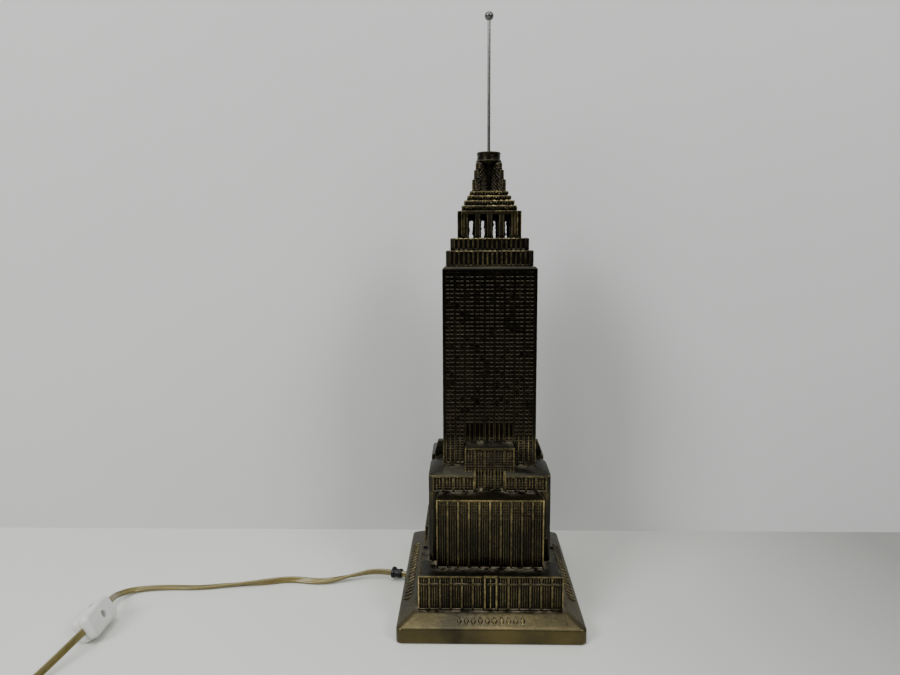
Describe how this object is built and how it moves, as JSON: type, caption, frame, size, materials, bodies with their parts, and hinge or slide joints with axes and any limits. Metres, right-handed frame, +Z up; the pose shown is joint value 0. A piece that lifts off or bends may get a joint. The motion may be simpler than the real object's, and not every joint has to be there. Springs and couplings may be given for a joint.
{
  "type": "tower table lamp",
  "caption": "Cast metal table lamp shaped as a stepped landmark tower, with a lift-off lantern crown over a small bulb, a slender mast, and a flex with an in-line thumbwheel switch.",
  "frame": {"origin": "middle of the plinth's underside, on the surface it stands on", "axes": "+Z up the tower, +Y away from the front face, +X to the right as seen from the front"},
  "size_m": [0.397, 0.3449, 0.4868],
  "materials": {
    "patinated_casting": "antiqued bronze patina, raised edges rubbed to brass",
    "bright_metal": "polished nickel",
    "sheet_steel": "zinc plated",
    "felt": "green felt",
    "insulator": "dark phenolic",
    "contact_brass": "bright",
    "clear_glass": "clear",
    "filament": "tungsten",
    "gold_flex": "translucent gold PVC over stranded copper",
    "black_nylon": "moulded",
    "white_case": "aged white moulding",
    "tie": "vinyl"
  },
  "bodies": {
    "lamp": {"base_casting": "patinated_casting", "shaft_casting": "patinated_casting", "bottom_cover": "sheet_steel", "felt_pad": "felt", "cover_screw_1": "sheet_steel", "cover_screw_2": "sheet_steel", "cover_screw_3": "sheet_steel", "cover_screw_4": "sheet_steel", "lamp_pipe": "sheet_steel", "bottom_crossbar": "sheet_steel", "bottom_washer": "sheet_steel", "bottom_nut": "contact_brass", "top_crossbar": "sheet_steel", "top_nut": "contact_brass", "socket_cup": "insulator", "socket_screw_shell": "contact_brass", "socket_contact": "contact_brass", "lead_line": "gold_flex", "lead_neutral": "gold_flex", "bulb_glass": "clear_glass", "bulb_cap": "contact_brass", "bulb_contact": "sheet_steel", "bulb_stem": "clear_glass", "bulb_filament": "filament", "inner_cord": "gold_flex", "cord_bushing": "black_nylon", "lamp_cord": "gold_flex", "switch_shell_front": "white_case", "switch_shell_back": "white_case", "switch_screw": "sheet_steel", "switch_nut": "sheet_steel", "switch_through_wire": "gold_flex", "switch_contact_in": "contact_brass", "switch_contact_out": "contact_brass", "supply_cord": "gold_flex", "cord_coil": "gold_flex", "coil_tie": "tie", "plug_cord": "gold_flex", "plug_body": "white_case", "plug_blade_line": "contact_brass", "plug_blade_neutral": "contact_brass"},
    "crown": {"crown_casting": "patinated_casting", "mast_cap": "patinated_casting", "antenna_rod": "bright_metal", "antenna_ball": "bright_metal", "antenna_nut": "sheet_steel"},
    "thumbwheel": {"switch_wheel": "white_case"}
  },
  "joints": [
    {"name": "crown_lift", "type": "slide", "parent": "lamp", "child": "crown", "axis": [0, 0, 1], "range_m": [0, 0.04]},
    {"name": "switch_wheel_turn", "type": "hinge", "parent": "lamp", "child": "thumbwheel", "pos_m": [-0.31436, -0.07628, 0.01682], "axis": [0.8722, 0.065, 0.4848], "continuous": true}
  ]
}
